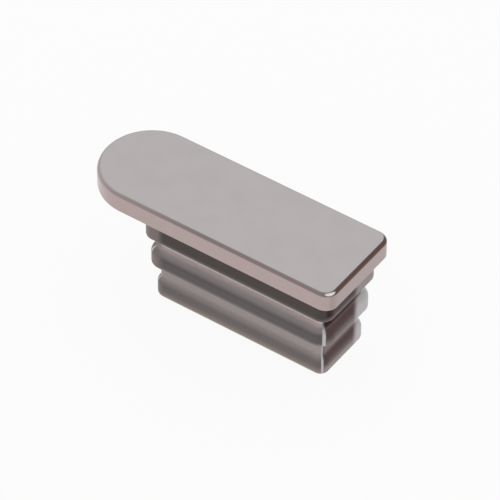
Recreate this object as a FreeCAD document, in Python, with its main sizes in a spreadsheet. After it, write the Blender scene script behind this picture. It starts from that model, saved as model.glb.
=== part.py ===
import FreeCAD, Part
import Sketcher
import os
from math import atan, degrees, radians
from FreeCAD import Vector

# End cap for an extruded profile: a flat cover plate on a ribbed plug that is pressed into the profile.
# Millimetres, +Z up. The origin is under the middle of the plate, level with the plug's lower rim.
doc = FreeCAD.newDocument("ProfileEndCap")

# Driving dimensions
DIMENSIONS = [
    ("plate_length", 45.0, "over the half-round end and the square end"),
    ("plate_width", 16.0, "also the diameter of the half-round end"),
    ("plate_thickness", 3.35, "cover plate, outside the profile"),
    ("plate_corner", 2.0, "corner radius at the square end"),
    ("top_rounding", 0.7, "upper edge of the plate"),
    ("under_rounding", 0.3, "lower edge of the plate"),
    ("profile_wall", 1.3, "plate standing over the collar, as wide as the wall that it covers"),
    ("plug_length", 32.9, "collar, from the square end towards the half-round end"),
    ("plug_depth", 16.6, "below the plate"),
    ("collar_height", 4.0, "straight collar under the plate"),
    ("collar_corner", 1.9, "corner radius of the collar"),
    ("collar_edge", 0.3, "rounding of the collar's lower edge"),
    ("core_inset", 1.8, "collar to the foot of the grooves"),
    ("core_corner", 1.0, "corner radius of the core between the ribs"),
    ("upper_rib_height", 5.7, "from the collar to the lip of the upper rib"),
    ("upper_rib_inset", 0.35, "collar to the upper rib's lip"),
    ("upper_groove", 2.4, "height of the groove between the collar and the upper rib"),
    ("upper_rib_flare", 1.4, "height over which the upper rib swells"),
    ("upper_rib_lip", 0.4, "rounding of the upper rib's lip"),
    ("lower_rib_inset", 1.25, "collar to the lower rib's widest part"),
    ("lower_groove", 3.0, "height of the groove between the ribs"),
    ("lower_rib_flare", 1.2, "height over which the lower rib swells"),
    ("lower_rib_lip", 1.1, "lead-in rounding at the lower rim"),
    ("cavity_wall", 1.4, "wall between the core's outside and the hollow"),
    ("cavity_corner", 0.8, "corner radius of the hollow"),
    ("cavity_rounding", 0.5, "rounding of the hollow's ceiling"),
]
sizes = doc.addObject("Spreadsheet::Sheet", "Sizes")
for row, (alias, number, note) in enumerate(DIMENSIONS, start=1):
    sizes.set(f"A{row}", alias)
    sizes.set(f"B{row}", str(number))
    sizes.set(f"C{row}", note)
    sizes.setAlias(f"B{row}", alias)
doc.recompute()

# Places that several features share, as expressions of the sheet
COLLAR_RIGHT = "(Sizes.plate_length / 2 - Sizes.profile_wall)"
COLLAR_LEFT = f"({COLLAR_RIGHT} - Sizes.plug_length)"
COLLAR_HALF = "(Sizes.plate_width / 2 - Sizes.profile_wall)"
CORE_RIGHT = f"({COLLAR_RIGHT} - Sizes.core_inset)"
CORE_LEFT = f"({COLLAR_LEFT} + Sizes.core_inset)"
CORE_HALF = f"({COLLAR_HALF} - Sizes.core_inset)"
CAVITY_RIGHT = f"({CORE_RIGHT} - Sizes.cavity_wall)"
CAVITY_LEFT = f"({CORE_LEFT} + Sizes.cavity_wall)"
CAVITY_HALF = f"({CORE_HALF} - Sizes.cavity_wall)"
COLLAR_FOOT = "(Sizes.plug_depth - Sizes.collar_height)"
UPPER_RIB_FOOT = f"({COLLAR_FOOT} - Sizes.upper_rib_height)"
PLUG_FOOT = "0"

# The swept ribs are rooted inside the core, by most of its corner radius, so that they turn its corners well
ROOT_DEPTH = "(0.75 * Sizes.core_corner)"
ROOT_CORNER = f"(Sizes.core_corner - {ROOT_DEPTH})"
ROOT_RIGHT = f"({CORE_RIGHT} - {ROOT_DEPTH})"
ROOT_LEFT = f"({CORE_LEFT} + {ROOT_DEPTH})"
ROOT_HALF = f"({CORE_HALF} - {ROOT_DEPTH})"

body = doc.addObject("PartDesign::Body", "EndCap")
body.Label = "end_cap"


def origin_plane(role):
    return next(plane for plane in body.Origin.OriginFeatures if plane.Role == role)


def value(expression):
    """Number that an expression of the sheet gives now."""
    return float(sizes.evalExpression(expression))


def new_sketch(name, role, height=None):
    """Sketch on one of the body's origin planes, lifted to a height where one is given."""
    sketch = body.newObject("Sketcher::SketchObject", name)
    sketch.AttachmentSupport = (origin_plane(role), [""])
    sketch.MapMode = "FlatFace"
    if height:
        sketch.setExpression("AttachmentOffset.Base.z", height)
    return sketch


def bind(sketch, constraint, expression):
    """Adds a constraint and ties its value to the sheet."""
    index = sketch.addConstraint(constraint)
    sketch.setExpression(f"Constraints[{index}]", expression)


def place_line(sketch, line, point, axis, expression):
    """Ties one coordinate of a line's end to the sheet, on whichever side of the origin it lies."""
    number = value(expression)
    if number < 0:
        bind(sketch, Sketcher.Constraint(f"Distance{axis}", line, point, -1, 1, -number), f"-{expression}")
    else:
        bind(sketch, Sketcher.Constraint(f"Distance{axis}", -1, 1, line, point, number), expression)


def join_tangent(sketch, edges):
    """Joins each edge to the next one end to start, tangent, and the last to the first."""
    for this, following in zip(edges, edges[1:] + edges[:1]):
        sketch.addConstraint(Sketcher.Constraint("Tangent", this, 2, following, 1))


def add_line(sketch, start, end):
    return sketch.addGeometry(Part.LineSegment(Vector(*start, 0), Vector(*end, 0)), False)


def add_arc(sketch, centre, radius, first, last):
    """Arc between two angles in degrees, anticlockwise."""
    circle = Part.Circle(Vector(*centre, 0), Vector(0, 0, 1), radius)
    return sketch.addGeometry(Part.ArcOfCircle(circle, radians(first), radians(last)), False)


def rounded_rectangle(name, left, right, half, corner, height=None):
    """Sketch of a rectangle with round corners, its long middle line on X."""
    sketch = new_sketch(name, "XY_Plane", height)
    x0, x1, y1, r = value(left), value(right), value(half), value(corner)
    front = add_line(sketch, (x0 + r, -y1), (x1 - r, -y1))
    front_right = add_arc(sketch, (x1 - r, r - y1), r, -90, 0)
    right_side = add_line(sketch, (x1, r - y1), (x1, y1 - r))
    back_right = add_arc(sketch, (x1 - r, y1 - r), r, 0, 90)
    back = add_line(sketch, (x1 - r, y1), (x0 + r, y1))
    back_left = add_arc(sketch, (x0 + r, y1 - r), r, 90, 180)
    left_side = add_line(sketch, (x0, y1 - r), (x0, r - y1))
    front_left = add_arc(sketch, (x0 + r, r - y1), r, 180, 270)
    join_tangent(sketch, [front, front_right, right_side, back_right, back, back_left, left_side, front_left])
    for line in (front, back):
        sketch.addConstraint(Sketcher.Constraint("Horizontal", line))
    for line in (right_side, left_side):
        sketch.addConstraint(Sketcher.Constraint("Vertical", line))
    for arc in (back_right, back_left, front_left):
        sketch.addConstraint(Sketcher.Constraint("Equal", front_right, arc))
    bind(sketch, Sketcher.Constraint("Radius", front_right, r), corner)
    place_line(sketch, right_side, 1, "X", right)
    place_line(sketch, left_side, 1, "X", left)
    place_line(sketch, back, 1, "Y", half)
    place_line(sketch, front, 1, "Y", f"(-{half})")
    doc.recompute()
    return sketch


def pad(name, sketch, length):
    feature = body.newObject("PartDesign::Pad", name)
    feature.Profile = sketch
    feature.setExpression("Length", length)
    doc.recompute()
    return feature


TOUCH = 1e-4


def edges_at_height(feature, height, half_width):
    """Names of the edges that lie flat at one height, no further than a distance from the middle line."""
    level, reach = value(height), value(half_width)
    names = []
    for number, edge in enumerate(feature.Shape.Edges, start=1):
        box = edge.BoundBox
        if max(abs(box.ZMin - level), abs(box.ZMax - level), box.YMax - reach, -reach - box.YMin) < TOUCH:
            names.append(f"Edge{number}")
    return names


def fillet(name, base, edges, radius):
    feature = body.newObject("PartDesign::Fillet", name)
    feature.Base = (base, edges)
    feature.setExpression("Radius", radius)
    doc.recompute()
    return feature


# Cover plate: half-round at one end, square with small round corners at the other
PLATE_HALF = "(Sizes.plate_width / 2)"
PLATE_RIGHT = "(Sizes.plate_length / 2)"
plate_outline = new_sketch("PlateOutline", "XY_Plane", "Sizes.plug_depth")
half_width, right_end, corner = value(PLATE_HALF), value(PLATE_RIGHT), value("Sizes.plate_corner")
arc_centre = half_width - right_end
plate_front = add_line(plate_outline, (arc_centre, -half_width), (right_end - corner, -half_width))
front_corner = add_arc(plate_outline, (right_end - corner, corner - half_width), corner, -90, 0)
square_end = add_line(plate_outline, (right_end, corner - half_width), (right_end, half_width - corner))
back_corner = add_arc(plate_outline, (right_end - corner, half_width - corner), corner, 0, 90)
plate_back = add_line(plate_outline, (right_end - corner, half_width), (arc_centre, half_width))
round_end = add_arc(plate_outline, (arc_centre, 0), half_width, 90, 270)
join_tangent(plate_outline, [plate_front, front_corner, square_end, back_corner, plate_back, round_end])
plate_outline.addConstraint(Sketcher.Constraint("Horizontal", plate_front))
plate_outline.addConstraint(Sketcher.Constraint("Vertical", square_end))
plate_outline.addConstraint(Sketcher.Constraint("Horizontal", plate_back))
plate_outline.addConstraint(Sketcher.Constraint("PointOnObject", round_end, 3, -1))
plate_outline.addConstraint(Sketcher.Constraint("Equal", front_corner, back_corner))
bind(plate_outline, Sketcher.Constraint("Radius", front_corner, corner), "Sizes.plate_corner")
bind(plate_outline, Sketcher.Constraint("Radius", round_end, half_width), PLATE_HALF)
place_line(plate_outline, square_end, 1, "X", PLATE_RIGHT)
place_line(plate_outline, plate_front, 1, "X", f"({PLATE_HALF} - {PLATE_RIGHT})")
doc.recompute()
plate = pad("Plate", plate_outline, "Sizes.plate_thickness")
PLATE_TOP = "(Sizes.plug_depth + Sizes.plate_thickness)"
plate = fillet("PlateTopEdge", plate, edges_at_height(plate, PLATE_TOP, PLATE_HALF), "Sizes.top_rounding")
plate = fillet("PlateLowerEdge", plate, edges_at_height(plate, "Sizes.plug_depth", PLATE_HALF),
               "Sizes.under_rounding")

# Collar, set in from the plate by the wall that the plate covers
collar_outline = rounded_rectangle("CollarOutline", COLLAR_LEFT, COLLAR_RIGHT, COLLAR_HALF,
                                   "Sizes.collar_corner", COLLAR_FOOT)
collar = pad("Collar", collar_outline, "Sizes.collar_height")
collar = fillet("CollarLowerEdge", collar, edges_at_height(collar, COLLAR_FOOT, COLLAR_HALF),
                "Sizes.collar_edge")

# Middle of the plug; its outline is also the path of the ribs
core_outline = rounded_rectangle("CoreOutline", ROOT_LEFT, ROOT_RIGHT, ROOT_HALF, ROOT_CORNER)
core = pad("Core", core_outline, "Sizes.plug_depth")


# Ribs: below its groove each swells on an arc to an upright lip. The section of both, with the grooves
# between them, is swept round the plug
rib_section = new_sketch("RibSection", "XZ_Plane")


def add_rib(top, foot, inner, inset, groove, flare, lip):
    """Outer side of one rib in the section, from its lower face up through the groove above it."""
    core, face, high, low = value(CORE_RIGHT), value(f"{COLLAR_RIGHT} - {inset}"), value(top), value(foot)
    depth, rise, rounding = value(groove), value(flare), value(lip)
    reach, shoulder = face - core, high - depth - rise
    radius = (reach ** 2 + rise ** 2) / (2 * reach)
    under = add_line(rib_section, (value(inner), low), (face - rounding, low))
    round_lip = add_arc(rib_section, (face - rounding, low + rounding), rounding, -90, 0)
    front = add_line(rib_section, (face, low + rounding), (face, shoulder))
    swell = add_arc(rib_section, (face - radius, shoulder), radius, 0, degrees(2 * atan(reach / rise)))
    groove_foot = add_line(rib_section, (core, high - depth), (core, high))
    for this, following in ((under, round_lip), (round_lip, front), (front, swell)):
        rib_section.addConstraint(Sketcher.Constraint("Tangent", this, 2, following, 1))
    rib_section.addConstraint(Sketcher.Constraint("Coincident", swell, 2, groove_foot, 1))
    rib_section.addConstraint(Sketcher.Constraint("Horizontal", under))
    rib_section.addConstraint(Sketcher.Constraint("Vertical", front))
    rib_section.addConstraint(Sketcher.Constraint("Vertical", groove_foot))
    bind(rib_section, Sketcher.Constraint("Radius", round_lip, rounding), lip)
    place_line(rib_section, under, 1, "X", inner)
    place_line(rib_section, front, 1, "X", f"({COLLAR_RIGHT} - {inset})")
    place_line(rib_section, front, 2, "Y", f"({top} - {groove} - {flare})")
    place_line(rib_section, groove_foot, 1, "Y", f"({top} - {groove})")
    return under, groove_foot


lower_under, lower_groove = add_rib(UPPER_RIB_FOOT, PLUG_FOOT, ROOT_RIGHT, "Sizes.lower_rib_inset",
                                    "Sizes.lower_groove", "Sizes.lower_rib_flare", "Sizes.lower_rib_lip")
upper_under, upper_groove = add_rib(COLLAR_FOOT, UPPER_RIB_FOOT, CORE_RIGHT, "Sizes.upper_rib_inset",
                                    "Sizes.upper_groove", "Sizes.upper_rib_flare", "Sizes.upper_rib_lip")
section_top = value(COLLAR_FOOT)
shelf = add_line(rib_section, (value(CORE_RIGHT), section_top), (value(ROOT_RIGHT), section_top))
root = add_line(rib_section, (value(ROOT_RIGHT), section_top), (value(ROOT_RIGHT), 0))
for this, following in ((lower_groove, upper_under), (upper_groove, shelf), (shelf, root),
                        (root, lower_under)):
    rib_section.addConstraint(Sketcher.Constraint("Coincident", this, 2, following, 1))
rib_section.addConstraint(Sketcher.Constraint("Horizontal", shelf))
rib_section.addConstraint(Sketcher.Constraint("Vertical", root))
place_line(rib_section, shelf, 1, "X", CORE_RIGHT)
place_line(rib_section, shelf, 1, "Y", COLLAR_FOOT)
place_line(rib_section, upper_under, 1, "Y", UPPER_RIB_FOOT)
rib_section.addConstraint(Sketcher.Constraint("PointOnObject", lower_under, 1, -1))
doc.recompute()
ribs = body.newObject("PartDesign::AdditivePipe", "Ribs")
ribs.Profile = rib_section
ribs.Spine = (core_outline, [])
doc.recompute()

# Hollow, open below, up to the underside of the plate
cavity_outline = rounded_rectangle("CavityOutline", CAVITY_LEFT, CAVITY_RIGHT, CAVITY_HALF,
                                   "Sizes.cavity_corner")
cavity = body.newObject("PartDesign::Pocket", "Cavity")
cavity.Profile = cavity_outline
cavity.Reversed = True
cavity.setExpression("Length", "Sizes.plug_depth")
doc.recompute()
cavity = fillet("CavityCeiling", cavity, edges_at_height(cavity, "Sizes.plug_depth", CAVITY_HALF),
                "Sizes.cavity_rounding")
body.Tip = cavity
doc.recompute()

# Checks before the export
for item in doc.Objects:
    if "Invalid" in item.State or "Error" in item.State:
        raise RuntimeError(f"{item.Name} did not compute")
shape = body.Shape
if shape.isNull() or not shape.isValid() or len(shape.Solids) != 1:
    raise RuntimeError("the end cap is not one valid solid")

os.makedirs("parts", exist_ok=True)
shape.exportStep(os.path.join("parts", f"{body.Label}.step"))
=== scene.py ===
import bpy
from mathutils import Matrix, Vector

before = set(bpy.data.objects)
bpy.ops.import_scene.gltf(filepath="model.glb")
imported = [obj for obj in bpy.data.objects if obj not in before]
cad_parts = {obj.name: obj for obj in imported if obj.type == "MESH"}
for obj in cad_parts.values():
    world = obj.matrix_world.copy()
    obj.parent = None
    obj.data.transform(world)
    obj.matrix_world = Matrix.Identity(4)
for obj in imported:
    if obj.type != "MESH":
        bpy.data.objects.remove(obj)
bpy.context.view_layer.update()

# The end cap: a cover plate on a hollow ribbed plug, moulded in plastic as one piece and
# then plated with a thin grey metal. The plating is bright and satin on the plate. Its
# colour also carries painted shade, painted reflections and a painted highlight, along the
# plate's edges and on the plug in tones that follow the ribs and the grooves round each
# side.
end_cap = bpy.data.objects["end_cap"]
plating = bpy.data.materials.new("satin_plating")
plating.use_nodes = True
nodes, links = plating.node_tree.nodes, plating.node_tree.links
shader = nodes["Principled BSDF"]
place = nodes.new("ShaderNodeTexCoord")


def parted(vector):
    """Put out the X, Y and Z of a vector, to be taken by name."""
    parts = nodes.new("ShaderNodeSeparateXYZ")
    links.new(vector, parts.inputs["Vector"])
    return parts.outputs


position = parted(place.outputs["Object"])
facing = parted(place.outputs["Normal"])


# Sides of the cap, told by which way they point in plan, whatever their slope. A corner
# goes over from the long side's tones to the square end's about half way round.
def feed(socket, value):
    """Set a socket to a number or a tone, or link another socket to it."""
    if isinstance(value, bpy.types.NodeSocket):
        links.new(value, socket)
    else:
        socket.default_value = value


def reckon_vector(operation, first, second=None):
    """Put out a vector worked out from one or two others, or a number for a dot product."""
    step = nodes.new("ShaderNodeVectorMath")
    step.operation = operation
    feed(step.inputs[0], first)
    if second is not None:
        feed(step.inputs["Scale" if operation == "SCALE" else 1], second)
    return step.outputs["Value" if operation == "DOT_PRODUCT" else "Vector"]


def fade(value, start, full, low=0.0, high=1.0, soft=True):
    """Put out low up to start and high from full on, with a soft or an even rise."""
    rise = nodes.new("ShaderNodeMapRange")
    rise.interpolation_type = "SMOOTHSTEP" if soft else "LINEAR"
    feed(rise.inputs["Value"], value)
    feed(rise.inputs["From Min"], start)
    feed(rise.inputs["From Max"], full)
    feed(rise.inputs["To Min"], low)
    feed(rise.inputs["To Max"], high)
    return rise.outputs["Result"]


in_plan = reckon_vector("MULTIPLY", place.outputs["Normal"], (1.0, 1.0, 0.0))
heading = parted(reckon_vector("NORMALIZE", in_plan))
square_end = fade(heading["X"], 0.68, 0.86)


# Plate: neutral on its face. Round its side the colour is a painted reflection, warmer, and
# darker along the square end. A painted dark reflection runs along the rounded edge in
# front, fainter towards the half-round end, and darkest along the square end. A painted
# highlight sits on the tip of the front corner.
def mix_tones(share, under, over):
    """Put out two tones mixed, by the share of the upper one."""
    mix = nodes.new("ShaderNodeMix")
    mix.data_type = "RGBA"
    feed(mix.inputs["Factor"], share)
    feed(mix.inputs["A"], under)
    feed(mix.inputs["B"], over)
    return mix.outputs["Result"]


face_tone, tip_highlight_tone = (0.45, 0.42, 0.42, 1.0), (0.85, 0.83, 0.84, 1.0)
# Painted reflection round the plate's side: warmer, and darker along the square end.
side_reflection_tone = mix_tones(square_end, (0.455, 0.365, 0.355, 1.0), (0.39, 0.315, 0.305, 1.0))
plate_tone = mix_tones(fade(facing["Z"], 0.55, 0.95), side_reflection_tone, face_tone)
# Painted dark reflections along the plate's sloped rounded edges, fainter towards the
# half-round end.
edge_slant = reckon_vector("SCALE", place.outputs["Normal"], facing["Z"])
edge_reflection_strength = fade(position["X"], -0.020, 0.0, low=0.30, soft=False)
front_edge = ((0.45, -0.9, 0.0), 0.18, 0.40, (0.27, 0.215, 0.21, 1.0))
square_edge = ((1.0, 0.0, 0.0), 0.12, 0.36, (0.135, 0.080, 0.070, 1.0))
for towards, start, full, reflected_tone in (front_edge, square_edge):
    leaning = reckon_vector("DOT_PRODUCT", edge_slant, towards)
    plate_tone = mix_tones(fade(leaning, start, full, high=edge_reflection_strength), plate_tone, reflected_tone)
# Painted highlight on the tip of the front corner, where the rounding faces one way.
tip_highlight_facing = reckon_vector("DOT_PRODUCT", place.outputs["Normal"], (0.58, -0.40, 0.71))
plate_tone = mix_tones(fade(tip_highlight_facing, 0.93, 0.97), plate_tone, tip_highlight_tone)

# Plug: painted shade and painted reflections, in tones that go by height, in millimetres
# above the lower rim. On the long sides the ribs are painted dark and the grooves light,
# with the collar in painted shade under the plate, and with less bare metal, which the
# fourth number says. On the square end painted reflections make the ribs' upright fronts
# light and their swells dark, and it is metal all over.
plug_depth = 16.6
depth_share = fade(position["Z"], 0.0, plug_depth / 1000, soft=False)


def banded(*bands):
    """Put out tones that change with the height on the plug."""
    ramp = nodes.new("ShaderNodeValToRGB")
    links.new(depth_share, ramp.inputs["Fac"])
    rim, top = ramp.color_ramp.elements
    rim.color, top.color = bands[0][1], bands[-1][1]
    for height, tone in bands[1:]:
        ramp.color_ramp.elements.new(height / plug_depth).color = tone
    return ramp.outputs


def reckon(operation, *values, clamp=False):
    """Put out a number that is worked out from others."""
    step = nodes.new("ShaderNodeMath")
    step.operation = operation
    step.use_clamp = clamp
    for socket, value in zip(step.inputs, values):
        feed(socket, value)
    return step.outputs["Value"]


lower_groove, upper_groove = (0.38, 0.33, 0.32, 0.4), (0.72, 0.63, 0.62, 0.1)
long_side_shading = banded(
    (0.0, (0.22, 0.18, 0.165, 0.5)), (0.7, (0.34, 0.275, 0.25, 0.6)),
    (1.2, (0.25, 0.21, 0.195, 0.8)), (1.9, (0.165, 0.145, 0.138, 1.0)),
    (2.9, (0.15, 0.138, 0.136, 1.0)), (3.3, (0.20, 0.178, 0.174, 0.85)),
    (4.0, lower_groove), (6.9, lower_groove),
    (7.7, (0.13, 0.118, 0.118, 1.0)), (9.2, (0.12, 0.107, 0.108, 1.0)),
    (9.95, (0.31, 0.275, 0.275, 0.6)), (10.17, upper_groove), (12.5, upper_groove),
    (12.6, (0.22, 0.205, 0.20, 1.0)), (13.0, (0.13, 0.118, 0.113, 1.0)),
    (13.4, (0.078, 0.066, 0.062, 1.0)))
end_groove = (0.28, 0.21, 0.21, 1.0)
end_shading = banded(
    (0.0, (0.32, 0.275, 0.27, 1.0)), (1.5, (0.31, 0.265, 0.26, 1.0)),
    (1.95, (0.21, 0.17, 0.17, 1.0)), (2.5, (0.11, 0.074, 0.074, 1.0)),
    (3.7, (0.11, 0.072, 0.072, 1.0)), (4.1, (0.20, 0.155, 0.155, 1.0)),
    (7.2, (0.26, 0.21, 0.21, 1.0)), (7.7, (0.205, 0.167, 0.167, 1.0)),
    (8.4, (0.11, 0.080, 0.080, 1.0)), (9.0, (0.092, 0.060, 0.060, 1.0)),
    (9.9, (0.11, 0.075, 0.075, 1.0)), (10.2, end_groove), (12.5, end_groove),
    (12.9, (0.18, 0.145, 0.14, 1.0)), (13.3, (0.11, 0.085, 0.08, 1.0)),
    (13.7, (0.04, 0.022, 0.020, 1.0)))
plug_tone = mix_tones(square_end, long_side_shading["Color"], end_shading["Color"])
metal = reckon("MAXIMUM", square_end, long_side_shading["Alpha"])
links.new(metal, shader.inputs["Metallic"])

# Corners of the plug: painted reflections make its ribs paler round the two left corners,
# and its ribs and collar palest round the back right one. Both go by how far a place lies
# along a line in plan from the left to the back right. The collar is all that is above its
# foot.
collar_foot = 0.01255
collar = reckon("GREATER_THAN", position["Z"], collar_foot)
reach = reckon_vector("DOT_PRODUCT", place.outputs["Object"], (0.8174, 0.5761, 0.0))
left_corner_reflection = reckon("MULTIPLY", fade(reach, -0.0100, -0.0112), metal)
plug_tone = mix_tones(left_corner_reflection, plug_tone, (0.22, 0.18, 0.175, 1.0))
back_right_reflection_tone = mix_tones(collar, (0.49, 0.47, 0.48, 1.0), (0.30, 0.255, 0.25, 1.0))
plug_tone = mix_tones(fade(reach, 0.0174, 0.0183), plug_tone, back_right_reflection_tone)

# A thin painted highlight runs down the middle of each upright corner of the ribs and
# grooves, where the heading is half way between two sides. The collar has none.
cornering = reckon("ABSOLUTE", reckon("MULTIPLY", heading["X"], heading["Y"]))
corner_highlight = reckon("SUBTRACT", fade(cornering, 0.480, 0.499), collar, clamp=True)
plug_tone = mix_tones(corner_highlight, plug_tone, (0.56, 0.55, 0.57, 1.0))

# Hollow of the plug: an even dark tone on its walls and roof. They are found as the
# places inside a box in plan that is a little wider than the hollow.
hollow_middle, hollow_reach = (0.00475, 0.0, 0.0), (0.01345, 0.0037, 0.0)
from_middle = reckon_vector("SUBTRACT", place.outputs["Object"], hollow_middle)
from_middle = reckon_vector("ABSOLUTE", from_middle)
beyond = parted(reckon_vector("SUBTRACT", from_middle, hollow_reach))
hollow = reckon("LESS_THAN", reckon("MAXIMUM", beyond["X"], beyond["Y"]), 0.0)
plug_tone = mix_tones(hollow, plug_tone, (0.15, 0.13, 0.127, 1.0))

# The plate's tones take over from the plug's just above the plate's underside. Over
# both, the plating is faintly cloudy, in patches a few millimetres wide.
on_plate = fade(position["Z"], 0.01658, 0.01672, soft=False)
body_tone = mix_tones(on_plate, plug_tone, plate_tone)
cloud = nodes.new("ShaderNodeTexNoise")
cloud.inputs["Scale"].default_value = 260.0
cloud.inputs["Detail"].default_value = 3.0
links.new(place.outputs["Object"], cloud.inputs["Vector"])
haze = fade(cloud.outputs["Fac"], 0.0, 1.0, low=0.95, high=1.05, soft=False)
links.new(reckon_vector("SCALE", body_tone, haze), shader.inputs["Base Color"])

# Fine satin grain of the plating, about a quarter of a millimetre wide, which scatters
# the reflections. The plug is rougher than the plate.
grain = nodes.new("ShaderNodeTexNoise")
grain.inputs["Scale"].default_value = 4200.0
grain.inputs["Detail"].default_value = 2.0
links.new(place.outputs["Object"], grain.inputs["Vector"])
satin = fade(on_plate, 0.0, 1.0, low=0.36, high=0.18, soft=False)
roughness = reckon("MULTIPLY_ADD", grain.outputs["Fac"], 0.08, satin)
links.new(roughness, shader.inputs["Roughness"])
relief = nodes.new("ShaderNodeBump")
relief.inputs["Strength"].default_value = 0.08
relief.inputs["Distance"].default_value = 0.00003
links.new(grain.outputs["Fac"], relief.inputs["Height"])
links.new(relief.outputs["Normal"], shader.inputs["Normal"])
end_cap.material_slots[0].material = plating

# Floor: a wide sheet of white paper, paler to the camera and in reflections than its
# own lit surface, so that it stays nearly white and keeps the cap's soft shadow
bpy.ops.object.select_all(action="DESELECT")
bpy.ops.mesh.primitive_plane_add(size=6.0, location=(0.0, 0.0, 0.0))
floor = bpy.context.object
floor.name = "floor"
paper = bpy.data.materials.new("white_paper")
paper.use_nodes = True
nodes, links = paper.node_tree.nodes, paper.node_tree.links
sheet = nodes["Principled BSDF"]
sheet.inputs["Base Color"].default_value = (0.8, 0.8, 0.8, 1.0)
sheet.inputs["Roughness"].default_value = 0.9
glow = nodes.new("ShaderNodeEmission")
glow.inputs["Color"].default_value = (1.0, 1.0, 1.0, 1.0)
glow.inputs["Strength"].default_value = 1.0
glow_share = 0.92
ray = nodes.new("ShaderNodeLightPath")
seen = reckon("MAXIMUM", ray.outputs["Is Camera Ray"], ray.outputs["Is Glossy Ray"])
blend = nodes.new("ShaderNodeMixShader")
links.new(reckon("MULTIPLY", seen, glow_share), blend.inputs["Fac"])
links.new(sheet.outputs["BSDF"], blend.inputs[1])
links.new(glow.outputs["Emission"], blend.inputs[2])
links.new(blend.outputs["Shader"], nodes["Material Output"].inputs["Surface"])
floor.data.materials.append(paper)

# Studio light: a softbox high behind the left of the cap, where the plate's face mirrors
# it to the camera, in a plain white room
bpy.ops.object.light_add(type="AREA")
softbox = bpy.context.object
softbox.name = "softbox"
softbox.data.shape = "SQUARE"
softbox.data.size = 0.40
softbox.data.energy = 0.115
towards_softbox = Vector((-0.4139, 0.5908, 0.6925))
softbox_distance = 0.45
softbox.location = towards_softbox * softbox_distance
softbox.rotation_euler = towards_softbox.to_track_quat("Z", "Y").to_euler()

room = bpy.data.worlds.new("studio")
room.use_nodes = True
bpy.context.scene.world = room
walls = room.node_tree.nodes["Background"]
walls.inputs["Color"].default_value = (1.0, 1.0, 1.0, 1.0)
walls.inputs["Strength"].default_value = 0.8

# Camera, at the photograph's viewing angle and distance: its place is measured from the
# middle of the plate's face along its own right, up and back, in lengths of the plate
plate_length = 0.045
face_middle = Vector((0.0, 0.0, 0.01995))
right = Vector((0.8174, 0.5761, 0.0030))
up = Vector((-0.4008, 0.5648, 0.7214))
back = Vector((0.4139, -0.5908, 0.6925))
offset = plate_length * (0.0559 * right - 0.1467 * up + 14.101 * back)
camera_data = bpy.data.cameras.new("camera")
camera_data.sensor_width = 36.0
camera_data.lens = 315.8
camera_data.clip_end = 20.0
camera = bpy.data.objects.new("camera", camera_data)
bpy.context.collection.objects.link(camera)
turn = Matrix((right, up, back)).transposed().to_4x4()
camera.matrix_world = Matrix.Translation(face_middle + offset) @ turn
bpy.context.scene.camera = camera
bpy.context.scene.view_settings.view_transform = "Standard"
